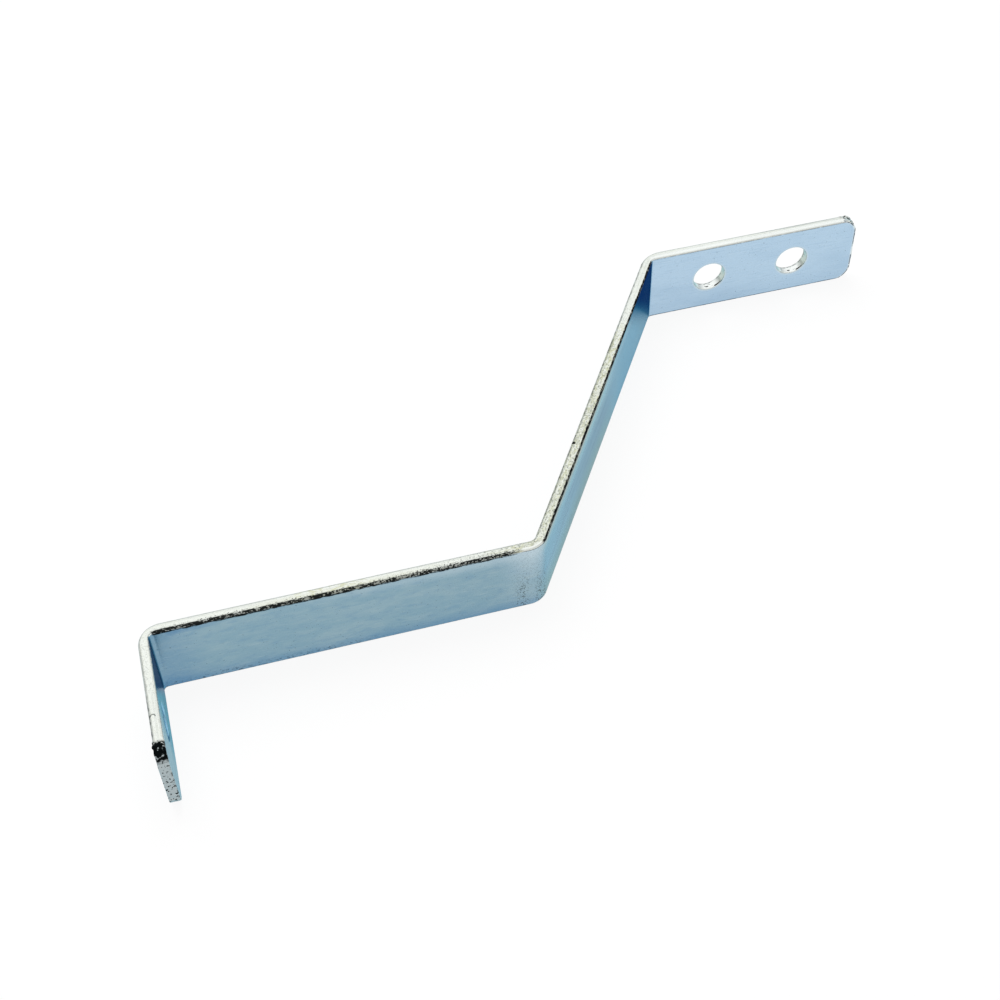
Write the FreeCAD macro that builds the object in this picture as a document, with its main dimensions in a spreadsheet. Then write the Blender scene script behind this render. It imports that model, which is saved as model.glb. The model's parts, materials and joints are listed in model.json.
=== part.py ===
import FreeCAD, Part
import math
import os

import Sketcher
from FreeCAD import Vector


# A cranked mounting bracket, folded from one length of flat steel bar. Seen from above as it
# stands on its narrow edge, it has four flats: a short square tab, a long leg, a sloping riser
# and an end plate that is parallel to the leg. Row frame, in millimetres: the origin is the
# middle of the plate's two holes on its back face, +X runs towards the plate's free end, +Y out
# of its back face and +Z across the bar's width.

# The bar as it comes from the mill: its section, and the radius of its four rolled edges.
BAR_SIZES = {
    "bar_width": 25.0,
    "bar_thickness": 3.0,
    "rolled_edge_radius": 0.8,
}

# Lengths of the four flats on the front face, between the sharp corners that the bends round
# off, and the angle by which the riser leaves the leg and the plate turns back.
FLAT_SIZES = {
    "tab_length": 38.5,
    "leg_length": 107.0,
    "riser_length": 123.0,
    "plate_length": 70.0,
    "crank_angle": 57.5,
}

# The press leaves a tight inside and draws the outer side thin, so each outside radius is larger
# than the inside radius and the thickness together. The square bend joins the tab to the leg, the
# crank bend the leg to the riser, and the return bend the riser to the plate.
BEND_SIZES = {
    "square_inside_radius": 1.2,
    "square_outside_radius": 6.4,
    "crank_inside_radius": 2.5,
    "crank_outside_radius": 6.6,
    "return_inside_radius": 1.5,
    "return_outside_radius": 9.5,
}

# The cropped ends, the punched holes, and the soft rim that the punch leaves on the front face.
CUT_SIZES = {
    "corner_radius": 5.5,
    "hole_diameter": 10.5,
    "rim_radius": 0.3,
    "plate_hole_setback": 20.0,
    "plate_hole_pitch": 28.5,
    "tab_hole_setback": 20.0,
}

SIZES = {**BAR_SIZES, **FLAT_SIZES, **BEND_SIZES, **CUT_SIZES}
SHEET_NAME = "sizes"
TOLERANCE = 0.001

# The four flats from the tab to the plate, and the radius at each of the three bends between
# them, on the front face and on the back face.
FLATS = ["tab", "leg", "riser", "plate"]
FRONT_BENDS = ["square_inside_radius", "crank_outside_radius", "return_inside_radius"]
BACK_BENDS = ["square_outside_radius", "crank_inside_radius", "return_outside_radius"]

# What a sketch constraint takes hold of: an end or the centre of a piece, the sketch's first
# axis, or its origin.
START, END, CENTRE = 1, 2, 3
LENGTHWISE_AXIS = -1
ORIGIN = (LENGTHWISE_AXIS, START)


def add_sheet(doc):
    """Keep every driving size in a sheet, one row each, under its own alias."""
    sheet = doc.addObject("Spreadsheet::Sheet", SHEET_NAME)
    for row, (name, value) in enumerate(SIZES.items(), start=1):
        sheet.set(f"A{row}", name)
        sheet.set(f"B{row}", str(value))
        sheet.setAlias(f"B{row}", name)
    doc.recompute()
    return sheet


def sized(expression):
    """An expression in which each size is read from the sheet."""
    words = expression.split()
    return " ".join(f"{SHEET_NAME}.{word}" if word in SIZES else word for word in words)


def heading(angle, length=1.0):
    """A vector in the plane of the fold, at an angle in degrees from +X."""
    turn = math.radians(angle)
    return Vector(length * math.cos(turn), length * math.sin(turn), 0)


class Fold:
    """The bar seen edge-on: the corners of its front and back faces, from tab to plate.

    The front face is on the right of the way from the tab's end to the plate's end.
    """

    def __init__(self, sheet):
        self.headings = [90, 0, sheet.crank_angle, 0]
        self.thickness = sheet.bar_thickness
        self.front_radii = [getattr(sheet, bend) for bend in FRONT_BENDS]
        self.back_radii = [getattr(sheet, bend) for bend in BACK_BENDS]
        fold_to_origin = sheet.plate_hole_setback + sheet.plate_hole_pitch / 2
        plate_corner = Vector(-fold_to_origin, -self.thickness, 0)
        leg_corner = plate_corner - heading(sheet.crank_angle, sheet.riser_length)
        tab_corner = leg_corner - heading(0, sheet.leg_length)
        tab_end = tab_corner - heading(90, sheet.tab_length)
        plate_end = plate_corner + heading(0, sheet.plate_length)
        self.front = [tab_end, tab_corner, leg_corner, plate_corner, plate_end]
        self.back = self.shifted_left(self.thickness)

    def turn(self, corner):
        """How far the bar turns left at one of its three inner corners, in degrees."""
        return self.headings[corner] - self.headings[corner - 1]

    def shifted_left(self, distance):
        """The front corners moved to the left, so that each flat stays parallel."""
        across = [heading(angle + 90, distance) for angle in self.headings]
        moved = [self.front[0] + across[0]]
        for corner in (1, 2, 3):
            slip = distance * math.tan(math.radians(self.turn(corner)) / 2)
            along = heading(self.headings[corner - 1], slip)
            moved.append(self.front[corner] + across[corner - 1] - along)
        moved.append(self.front[4] + across[3])
        return moved

    def outline(self, corners, radii):
        """Lines and tangent arcs along the corners, and the points where they meet."""
        pieces = []
        joints = []
        start = corners[0]
        for corner, radius in enumerate(radii, start=1):
            turn = self.turn(corner)
            reach = radius * math.tan(math.radians(abs(turn)) / 2)
            before = corners[corner] - heading(self.headings[corner - 1], reach)
            after = corners[corner] + heading(self.headings[corner], reach)
            outward = self.headings[corner - 1] - math.copysign(90, turn)
            centre = before - heading(outward, radius)
            middle = centre + heading(outward + turn / 2, radius)
            pieces += [Part.LineSegment(start, before), Part.Arc(before, middle, after)]
            joints += [before, after]
            start = after
        pieces.append(Part.LineSegment(start, corners[-1]))
        return pieces, joints


def add_sketch(body, name, role):
    """A sketch on the body's own origin plane that has this role."""
    plane = next(item for item in body.Origin.OriginFeatures if item.Role == role)
    sketch = body.newObject("Sketcher::SketchObject", name)
    sketch.AttachmentSupport = [(plane, "")]
    sketch.MapMode = "FlatFace"
    return sketch


def bind(sketch, name, expression, *terms):
    """Add a named constraint whose value follows the sheet."""
    index = sketch.addConstraint(Sketcher.Constraint(*terms))
    sketch.renameConstraint(index, name)
    sketch.setExpression(f"Constraints.{name}", sized(expression))


def tie(sketch, *terms):
    """Add a constraint that has no value."""
    sketch.addConstraint(Sketcher.Constraint(*terms))


def end_at(sketch, piece, point):
    """The end of a piece that lies at a point."""
    near_start = sketch.getPoint(piece, START).distanceToPoint(point) < TOLERANCE
    return START if near_start else END


def join(sketch, kind, first, second, point):
    """Join two pieces at a point, where both of them end."""
    tie(sketch, kind, first, end_at(sketch, first, point), second, end_at(sketch, second, point))


def add_outline(sketch, pieces, joints):
    """Add a run of lines and arcs, each tangent to the next where they meet."""
    names = [sketch.addGeometry(piece) for piece in pieces]
    for first, second, point in zip(names, names[1:], joints):
        join(sketch, "Tangent", first, second, point)
    return names


def draw_fold(body, fold):
    """The closed edge-on outline of the bracket, bound to the sheet."""
    sketch = add_sketch(body, "folded_outline", "XY_Plane")
    front = add_outline(sketch, *fold.outline(fold.front, fold.front_radii))
    back = add_outline(sketch, *fold.outline(fold.back, fold.back_radii))
    tab_end = sketch.addGeometry(Part.LineSegment(fold.front[0], fold.back[0]))
    plate_end = sketch.addGeometry(Part.LineSegment(fold.front[-1], fold.back[-1]))
    for face, corners in ((front, fold.front), (back, fold.back)):
        join(sketch, "Coincident", tab_end, face[0], corners[0])
        join(sketch, "Coincident", plate_end, face[-1], corners[-1])

    # The spine joins the front face's sharp corners and carries the lengths and the angle.
    spine = []
    for flat, corner, next_corner in zip(FLATS, fold.front, fold.front[1:]):
        line = sketch.addGeometry(Part.LineSegment(corner, next_corner), True)
        length = corner.distanceToPoint(next_corner)
        bind(sketch, f"{flat}_length", f"{flat}_length", "Distance", line, length)
        spine.append(line)
    tab, leg, riser, plate = spine
    for line, next_line in zip(spine, spine[1:]):
        tie(sketch, "Coincident", line, END, next_line, START)
    tie(sketch, "Vertical", tab)
    tie(sketch, "Horizontal", leg)
    tie(sketch, "Horizontal", plate)
    slope = math.radians(fold.headings[FLATS.index("riser")])
    bind(sketch, "crank_angle", "crank_angle * 1 deg", "Angle", riser, slope)
    plate_corner = fold.front[3]
    across = ("DistanceX", plate, START, *ORIGIN, -plate_corner.x)
    behind = ("DistanceY", plate, START, *ORIGIN, -plate_corner.y)
    bind(sketch, "fold_to_origin", "plate_hole_setback + plate_hole_pitch / 2", *across)
    bind(sketch, "face_to_origin", "bar_thickness", *behind)

    # The front flats lie on the spine, and the back flats one thickness behind it.
    for flat, line in zip(FLATS, spine):
        place = 2 * FLATS.index(flat)
        free_end = {"tab": START, "plate": END}.get(flat)
        for end in (START, END):
            if end == free_end:
                tie(sketch, "Coincident", front[place], end, line, end)
            else:
                tie(sketch, "PointOnObject", front[place], end, line)
        tie(sketch, "Parallel", back[place], line)
        gap = ("Distance", back[place], START, line, fold.thickness)
        bind(sketch, f"{flat}_thickness", "bar_thickness", *gap)
    tie(sketch, "Perpendicular", tab_end, tab)
    tie(sketch, "Perpendicular", plate_end, plate)

    # The three bends, each with its own inside and outside radius.
    sides = [
        ("front", front, FRONT_BENDS, fold.front_radii),
        ("back", back, BACK_BENDS, fold.back_radii),
    ]
    for side, face, bends, radii in sides:
        for place, (bend, radius) in enumerate(zip(bends, radii), start=1):
            bind(sketch, f"{side}_bend_{place}", bend, "Radius", face[2 * place - 1], radius)
    return sketch


def add_bar(body, outline):
    """The bar's full width, half on each side of the outline."""
    bar = body.newObject("PartDesign::Pad", "bar")
    bar.Profile = outline
    bar.SideType = "Symmetric"
    bar.setExpression("Length", sized("bar_width"))
    return bar


def roll_edges(body, bar, sheet, fold):
    """Round the bar's four long edges, and leave the edges of its two ends."""
    edge_height = sheet.bar_width / 2
    chosen = []
    for index, edge in enumerate(bar.Shape.Edges, start=1):
        heights = [vertex.Z for vertex in edge.Vertexes]
        lengthwise = abs(sum(heights)) > 2 * edge_height - TOLERANCE
        middle = edge.CenterOfMass
        at_tab_end = abs(middle.y - fold.front[0].y) < TOLERANCE
        at_plate_end = abs(middle.x - fold.front[-1].x) < TOLERANCE
        if lengthwise and not at_tab_end and not at_plate_end:
            chosen.append(f"Edge{index}")
    rolled = body.newObject("PartDesign::Fillet", "rolled_edges")
    rolled.Base = (bar, chosen)
    rolled.setExpression("Radius", sized("rolled_edge_radius"))
    return rolled


def crop_corners(body, name, role, tip, outward, tip_expression, sheet):
    """Round the two corners of one end, through the thickness of the flat.

    The sketch's first axis runs along the flat, and outward is the way to its tip there. Each
    corner's waste is bounded by the end, the flank and the arc that stays.
    """
    sketch = add_sketch(body, f"{name}_corner_waste", role)
    radius = sheet.corner_radius
    for side, edge in ((1, "upper"), (-1, "lower")):
        corner = Vector(tip, side * sheet.bar_width / 2, 0)
        inward = Vector(-outward * radius, 0, 0)
        down = Vector(0, -side * radius, 0)
        on_flank = corner + inward
        on_end = corner + down
        middle = corner + (inward + down) * (1 - math.sqrt(0.5))
        flank = sketch.addGeometry(Part.LineSegment(corner, on_flank))
        end = sketch.addGeometry(Part.LineSegment(corner, on_end))
        arc = sketch.addGeometry(Part.Arc(on_flank, middle, on_end))
        tie(sketch, "Coincident", flank, START, end, START)
        join(sketch, "Tangent", flank, arc, on_flank)
        join(sketch, "Tangent", end, arc, on_end)
        tie(sketch, "Horizontal", flank)
        tie(sketch, "Vertical", end)
        bind(sketch, f"{edge}_radius", "corner_radius", "Radius", arc, radius)
        reach = ("DistanceX", *ORIGIN, end, START, tip)
        height = ("DistanceY", *ORIGIN, end, START, corner.y)
        bind(sketch, f"{edge}_tip", tip_expression, *reach)
        bind(sketch, f"{edge}_flank", f"{side} * bar_width / 2", *height)
    waste = body.newObject("PartDesign::Pocket", f"{name}_corners")
    waste.Profile = sketch
    waste.Type = "ThroughAll"
    waste.SideType = "Symmetric"
    return waste


def punch(body, name, role, places, sheet):
    """Punch round holes through a flat, on the middle line of the bar.

    Each place is how far along the sketch's first axis a hole's centre lies, as a number and as
    an expression of the sheet.
    """
    sketch = add_sketch(body, f"{name}_centres", role)
    diameter = sheet.hole_diameter
    for index, (reach, expression) in enumerate(places, start=1):
        circle = Part.Circle(Vector(reach, 0, 0), Vector(0, 0, 1), diameter / 2)
        hole = sketch.addGeometry(circle)
        tie(sketch, "PointOnObject", hole, CENTRE, LENGTHWISE_AXIS)
        bind(sketch, f"place_{index}", expression, "DistanceX", *ORIGIN, hole, CENTRE, reach)
        bind(sketch, f"diameter_{index}", "hole_diameter", "Diameter", hole, diameter)
    body.Document.recompute()
    hole = body.newObject("PartDesign::Hole", name)
    hole.Profile = sketch
    hole.ThreadType = "None"
    hole.DepthType = "ThroughAll"
    hole.setExpression("Diameter", sized("hole_diameter"))
    return hole


def soften_rims(body, punched, sheet, fold):
    """Draw the front rim of every hole in a little, as the punch does."""
    front_of_plate = fold.front[-1].y
    front_of_tab = fold.front[0].x
    hole_radius = sheet.hole_diameter / 2
    chosen = []
    for index, edge in enumerate(punched.Shape.Edges, start=1):
        is_rim = edge.Curve.TypeId == "Part::GeomCircle" and edge.isClosed()
        if not is_rim or abs(edge.Curve.Radius - hole_radius) > TOLERANCE:
            continue
        centre = edge.Curve.Center
        on_plate = abs(centre.y - front_of_plate) < TOLERANCE
        on_tab = abs(centre.x - front_of_tab) < TOLERANCE
        if on_plate or on_tab:
            chosen.append(f"Edge{index}")
    rims = body.newObject("PartDesign::Fillet", "drawn_rims")
    rims.Base = (punched, chosen)
    rims.setExpression("Radius", sized("rim_radius"))
    return rims


def check(doc, body, volumes):
    """Stop if any object failed, the solid is bad, or a cut removed nothing."""
    for item in doc.Objects:
        if "Invalid" in item.State or "Error" in item.State:
            raise RuntimeError(f"{item.Name} did not compute: {item.State}")
    shape = body.Shape
    if shape.isNull() or not shape.isValid() or len(shape.Solids) != 1:
        raise RuntimeError("the bracket is not one valid solid")
    for before, after in zip(volumes, volumes[1:]):
        if after > before - TOLERANCE:
            raise RuntimeError(f"a cut removed nothing: {volumes}")


def build():
    """Model the bracket in one body."""
    doc = FreeCAD.newDocument("bracket")
    sheet = add_sheet(doc)
    fold = Fold(sheet)
    body = doc.addObject("PartDesign::Body", "bracket_body")
    body.Label = "bracket"
    volumes = []

    def finish(feature):
        doc.recompute()
        volumes.append(feature.Shape.Volume)
        return feature

    bar = finish(add_bar(body, draw_fold(body, fold)))
    finish(roll_edges(body, bar, sheet, fold))

    # The plate lies along X, and the tab along Y below the riser's foot.
    plate_tip = "plate_length - plate_hole_setback - plate_hole_pitch / 2"
    finish(crop_corners(body, "plate", "XZ_Plane", fold.front[-1].x, 1, plate_tip, sheet))
    tab_corner = "bar_thickness + riser_length * sin( crank_angle * 1 deg )"
    tab_tip = f"-( {tab_corner} + tab_length )"
    finish(crop_corners(body, "tab", "YZ_Plane", fold.front[0].y, -1, tab_tip, sheet))

    half_pitch = sheet.plate_hole_pitch / 2
    plate_places = [
        (-half_pitch, "-( plate_hole_pitch / 2 )"),
        (half_pitch, "plate_hole_pitch / 2"),
    ]
    plate_holes = punch(body, "plate_holes", "XZ_Plane", plate_places, sheet)
    plate_holes.Reversed = True
    finish(plate_holes)

    tab_reach = fold.front[1].y - sheet.tab_hole_setback
    tab_places = [(tab_reach, f"-( {tab_corner} + tab_hole_setback )")]
    tab_hole = finish(punch(body, "tab_hole", "YZ_Plane", tab_places, sheet))

    body.Tip = finish(soften_rims(body, tab_hole, sheet, fold))
    body.Placement = FreeCAD.Placement()
    doc.recompute()
    check(doc, body, volumes)
    return body


bracket = build()
os.makedirs("parts", exist_ok=True)
bracket.Shape.exportStep(f"parts/{bracket.Label}.step")
print(f"{bracket.Label}: {bracket.Shape.Volume:.1f} cubic millimetres")
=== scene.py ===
import functools
import json
import math

import bmesh
import bpy
from mathutils import Matrix, Vector, noise


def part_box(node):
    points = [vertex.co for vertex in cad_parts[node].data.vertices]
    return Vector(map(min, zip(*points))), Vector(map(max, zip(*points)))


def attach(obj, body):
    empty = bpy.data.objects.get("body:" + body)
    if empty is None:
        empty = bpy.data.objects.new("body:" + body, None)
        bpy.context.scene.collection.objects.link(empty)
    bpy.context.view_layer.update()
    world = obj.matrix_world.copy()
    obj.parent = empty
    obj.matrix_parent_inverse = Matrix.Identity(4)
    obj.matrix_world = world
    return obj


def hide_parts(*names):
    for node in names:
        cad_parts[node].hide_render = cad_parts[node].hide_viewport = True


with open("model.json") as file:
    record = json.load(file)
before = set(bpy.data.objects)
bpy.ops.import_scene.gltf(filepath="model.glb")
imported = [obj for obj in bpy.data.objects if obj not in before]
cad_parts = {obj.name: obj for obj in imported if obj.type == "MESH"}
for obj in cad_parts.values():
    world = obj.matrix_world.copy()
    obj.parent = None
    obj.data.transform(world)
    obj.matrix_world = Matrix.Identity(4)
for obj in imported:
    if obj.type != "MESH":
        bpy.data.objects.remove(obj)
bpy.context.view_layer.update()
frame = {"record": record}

# The looks of a cranked bracket that is folded from flat steel bar and zinc plated. The bar is
# first laid out as a flat blank in millimetres: s runs along the bar from the tab's end to the
# plate's end, w across its width, and d into its thickness from the front face. The blank gets
# its rolled edges, cropped ends and punched holes, and is then folded into the row frame.

MM = 0.001
PIECE = "zinc_plated_bracket"
SLOT = "zinc_plated_steel"
BODY = "root"
NODE = "bracket"
WHITE = (1.0, 1.0, 1.0, 1.0)

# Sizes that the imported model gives: its box and its mounts.
LOW, HIGH = (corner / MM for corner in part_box(NODE))
MOUNTS = {mount["name"]: mount for mount in frame["record"]["mounts"]}
PLATE_PITCH = MOUNTS["plate_bolts"]["dims"]["spacing_x_mm"]
HOLE_RADIUS = MOUNTS["plate_bolts"]["dims"]["hole_r_mm"]
TAB_HOLE_Y = MOUNTS["tab_bolt"]["pos_m"][1] / MM
HALF_WIDTH = (HIGH.z - LOW.z) / 2

# Sizes of the bar, and each bend's radius on the front face and on the back face, as in the
# solid.
THICKNESS = 3.0
ROLLED_RADIUS = 0.8
TAB_LENGTH = 38.5
PLATE_LENGTH = 70.0
CRANK_ANGLE = 57.5
SQUARE_BEND = (1.2, 6.4)
CRANK_BEND = (6.6, 2.5)
RETURN_BEND = (1.5, 9.5)
CORNER_RADIUS = 5.5
CROPPED_RADIUS = 0.25
RIM_RADIUS = 0.4
BURR_RADIUS = 0.15

# The mesh: columns across a face, steps along the bar, and rows through the rolled edges.
COLUMNS = 36
HOLE_COLUMNS = 28
FLAT_STEP = 0.65
BEND_STEP = 0.32
CORNER_STEPS = 16
FILLET_ROWS = 4
WALL_ROWS = 6
BORE_ROWS = 6
RIM_DISTANCES = (0.0, 0.04, 0.12, 0.24, 0.4, 0.7, 1.1)
SPREAD_RINGS = 5


def heading(degrees):
    """The unit vector at an angle from +X, seen from above."""
    return Vector((math.cos(math.radians(degrees)), math.sin(math.radians(degrees))))


def smooth_step(low, high, value):
    """0 below low, 1 above high, and a smooth ramp between."""
    share = min(1.0, max(0.0, (value - low) / (high - low)))
    return share * share * (3 - 2 * share)


class Bend:
    """One bend: how its front and back faces run between the two flats that it joins."""

    SAMPLES = 60

    def __init__(self, corner, before, after, front_radius, back_radius):
        turn = math.radians(after - before)
        self.tangent = math.tan(abs(turn) / 2)
        slip = THICKNESS * math.tan(turn / 2)
        back_corner = corner + THICKNESS * heading(before + 90) - slip * heading(before)
        reach = max(front_radius * self.tangent, back_radius * self.tangent + slip)
        front_ends = (corner - reach * heading(before), corner + reach * heading(after))
        across = (THICKNESS * heading(before + 90), THICKNESS * heading(after + 90))
        back_ends = tuple(end + shift for end, shift in zip(front_ends, across))
        self.front = self.curve(corner, front_radius, front_ends, before, after)
        self.back = self.curve(back_corner, back_radius, back_ends, before, after)
        self.length = (self.run(self.front) + self.run(self.back)) / 2

    def run(self, points):
        return sum((b - a).length for a, b in zip(points, points[1:]))

    def curve(self, corner, radius, ends, before, after):
        """Evenly spaced points of one face: a short straight, the arc and a short straight."""
        turn = after - before
        first = corner - radius * self.tangent * heading(before)
        centre = first + math.copysign(radius, turn) * heading(before + 90)
        outward = before - math.copysign(90, turn)
        straights = ((first - ends[0]).length, (ends[1] - corner).length - radius * self.tangent)
        arc = radius * abs(math.radians(turn))
        total = straights[0] + arc + straights[1]
        points = []
        for sample in range(self.SAMPLES + 1):
            way = total * sample / self.SAMPLES
            if way < straights[0]:
                points.append(ends[0] + way * heading(before))
            elif way <= straights[0] + arc:
                share = (way - straights[0]) / arc
                points.append(centre + radius * heading(outward + turn * share))
            else:
                points.append(ends[1] - (total - way) * heading(after))
        return points


class Fold:
    """Where the blank's front and back faces run once it is folded, seen from above."""

    def __init__(self):
        plate_corner = Vector((HIGH.x - PLATE_LENGTH, HIGH.y - THICKNESS))
        tab_corner = Vector((LOW.x + THICKNESS, LOW.y + TAB_LENGTH))
        rise = plate_corner.y - tab_corner.y
        run = rise / math.tan(math.radians(CRANK_ANGLE))
        leg_corner = Vector((plate_corner.x - run, tab_corner.y))
        self.bends = [
            Bend(tab_corner, 90, 0, *SQUARE_BEND),
            Bend(leg_corner, 0, CRANK_ANGLE, *CRANK_BEND),
            Bend(plate_corner, CRANK_ANGLE, 0, *RETURN_BEND),
        ]
        ends = (Vector((tab_corner.x, LOW.y)), Vector((HIGH.x, plate_corner.y)))
        self.places = [0.0]
        self.front = [ends[0]]
        self.back = [ends[0] + THICKNESS * heading(180)]
        self.zones = []
        for bend in self.bends:
            start = self.places[-1] + (bend.front[0] - self.front[-1]).length
            self.zones.append((start, start + bend.length))
            for sample, (front, back) in enumerate(zip(bend.front, bend.back)):
                self.places.append(start + bend.length * sample / bend.SAMPLES)
                self.front.append(front)
                self.back.append(back)
        self.length = self.places[-1] + (ends[1] - self.front[-1]).length
        self.places.append(self.length)
        self.front.append(ends[1])
        self.back.append(ends[1] + THICKNESS * heading(90))

    def place(self, s, w, d):
        """The point of the row frame, in millimetres, where a point of the blank ends up."""
        low, high = 0, len(self.places) - 1
        while high - low > 1:
            middle = (low + high) // 2
            if self.places[middle] <= s:
                low = middle
            else:
                high = middle
        share = (s - self.places[low]) / (self.places[high] - self.places[low])
        front = self.front[low].lerp(self.front[high], share)
        back = self.back[low].lerp(self.back[high], share)
        point = front.lerp(back, d / THICKNESS)
        return Vector((point.x, point.y, w))


FOLD = Fold()
TAB_END, PLATE_END = 0.0, FOLD.length
TAB_BEND, LEG_BEND, PLATE_BEND = FOLD.zones
PLATE_HOLES = [
    PLATE_END - HIGH.x - side * PLATE_PITCH / 2
    for side in (1, -1)
]
TAB_HOLE = TAB_HOLE_Y - LOW.y
HOLES = [TAB_HOLE, *PLATE_HOLES]
HOLE_HALF = HOLE_COLUMNS / COLUMNS * (HALF_WIDTH - ROLLED_RADIUS)


class Station:
    """One row across the blank: its place, half its width inside the rolled edges, and them.

    Turn is 0 on the straight flanks and goes to 90 degrees round the cropped corners.
    """

    def __init__(self, s, turn=0.0, end=0):
        self.turn = math.radians(turn)
        self.end = end
        lost = CORNER_RADIUS * (1 - math.cos(self.turn))
        self.radius = max(CROPPED_RADIUS, ROLLED_RADIUS - lost)
        reach = CORNER_RADIUS - self.radius
        self.half = HALF_WIDTH - CORNER_RADIUS + reach * math.cos(self.turn)
        self.s = s + end * reach * math.sin(self.turn)
        self.centre = s

    def edge_point(self, side, inset):
        """A point of the blank's outline at this row, moved inwards."""
        if not self.end:
            return self.s, side * (HALF_WIDTH - inset)
        reach = CORNER_RADIUS - inset
        across = HALF_WIDTH - CORNER_RADIUS + reach * math.cos(self.turn)
        return self.centre + self.end * reach * math.sin(self.turn), side * across


def divide(start, stop, step):
    """Even places from start up to, but not including, stop."""
    count = max(1, round((stop - start) / step))
    return [start + (stop - start) * index / count for index in range(count)]


def make_stations():
    """Every row of the blank, and the rows between them that only the edges have."""
    tab_centre, plate_centre = TAB_END + CORNER_RADIUS, PLATE_END - CORNER_RADIUS
    marks = [(tab_centre, FLAT_STEP)]
    for hole in HOLES:
        marks += [(hole - HOLE_HALF, 2 * HOLE_HALF / HOLE_COLUMNS), (hole + HOLE_HALF, FLAT_STEP)]
    for start, stop in FOLD.zones:
        marks += [(start, BEND_STEP), (stop, FLAT_STEP)]
    marks = sorted(marks) + [(plate_centre, None)]
    flat = [s for (a, step), (b, _) in zip(marks, marks[1:]) for s in divide(a, b, step)]
    turns = [90 * step / (2 * CORNER_STEPS) for step in range(2 * CORNER_STEPS, 0, -1)]
    tab = [Station(tab_centre, turn, -1) for turn in turns]
    plate = [Station(plate_centre, turn, 1) for turn in reversed(turns)]
    flat.append(plate_centre)
    middle = []
    for first, second in zip(flat, flat[1:]):
        middle += [Station(first), Station((first + second) / 2)]
    return tab + middle + [Station(flat[-1])] + plate


class Blank:
    """The mesh of the flat blank: points as (s, w, d), and faces as tuples of point numbers."""

    def __init__(self):
        self.points = []
        self.girth = []
        self.cut = []
        self.faces = []

    def add(self, s, w, d, girth, cut=0.0):
        """Add a point.

        Girth is 0 on the front face, 1 where its rounded rim ends, 2 where the back's begins and
        3 on the back face. Cut is 1 where the bar was sheared or punched.
        """
        self.points.append((s, w, d))
        self.girth.append(girth)
        self.cut.append(cut)
        return len(self.points) - 1

    def strip(self, first, second, closed=False):
        """Faces between two rows of as many points."""
        pairs = list(zip(first, second))
        if closed:
            pairs.append(pairs[0])
        for (a, b), (c, d) in zip(pairs, pairs[1:]):
            self.faces.append((a, c, d, b))


def fillet_depth(radius, distance):
    """How deep a rounded rim lies at a distance inwards from its edge."""
    short = max(0.0, radius - distance)
    return radius - math.sqrt(max(0.0, radius * radius - short * short))


def in_hole_patch(s, column):
    """True for a face cell that a hole's own ring of faces replaces."""
    margin = (COLUMNS - HOLE_COLUMNS) // 2
    beside = any(abs(s - hole) < HOLE_HALF for hole in HOLES)
    return beside and margin <= column < COLUMNS - margin


def add_face(blank, stations, depth, girth):
    """The grid of one broad face. Returns its rows and the points between rows at both edges."""
    rows = stations[::2]
    grid = []
    for row in rows:
        line = []
        for column in range(COLUMNS + 1):
            w = row.half * (2 * column / COLUMNS - 1)
            buried = all(
                in_hole_patch(row.s + shift, column + step)
                for shift in (-BEND_STEP, BEND_STEP)
                for step in (-1, 0)
            )
            line.append(None if buried else blank.add(row.s, w, depth, girth))
        grid.append(line)
    between = {-1: [], 1: []}
    for row in stations[1::2]:
        for side in (-1, 1):
            s, w = row.edge_point(side, row.radius)
            between[side].append(blank.add(s, w, depth, girth))
    last = COLUMNS - 1
    for index, (first, second) in enumerate(zip(grid, grid[1:])):
        middle = (rows[index].s + rows[index + 1].s) / 2
        for column in range(COLUMNS):
            if in_hole_patch(middle, column):
                continue
            face = [first[column], second[column], second[column + 1], first[column + 1]]
            if column == 0:
                face.insert(1, between[-1][index])
            if column == last:
                face.insert(3, between[1][index])
            blank.faces.append(tuple(face))
    return grid, between


def edge_profile(radius):
    """The rolled edge from face to face: how far in, how deep, and the girth of each row."""
    profile = []
    for row in range(FILLET_ROWS + 1):
        angle = math.pi / 2 * row / FILLET_ROWS
        inset, depth = radius * (1 - math.sin(angle)), radius * (1 - math.cos(angle))
        profile.append((inset, depth, row / FILLET_ROWS))
    for row in range(1, WALL_ROWS):
        share = row / WALL_ROWS
        profile.append((0.0, radius + (THICKNESS - 2 * radius) * share, 1 + share))
    for inset, depth, girth in profile[FILLET_ROWS::-1]:
        profile.append((inset, THICKNESS - depth, 3 - girth))
    return profile


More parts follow.
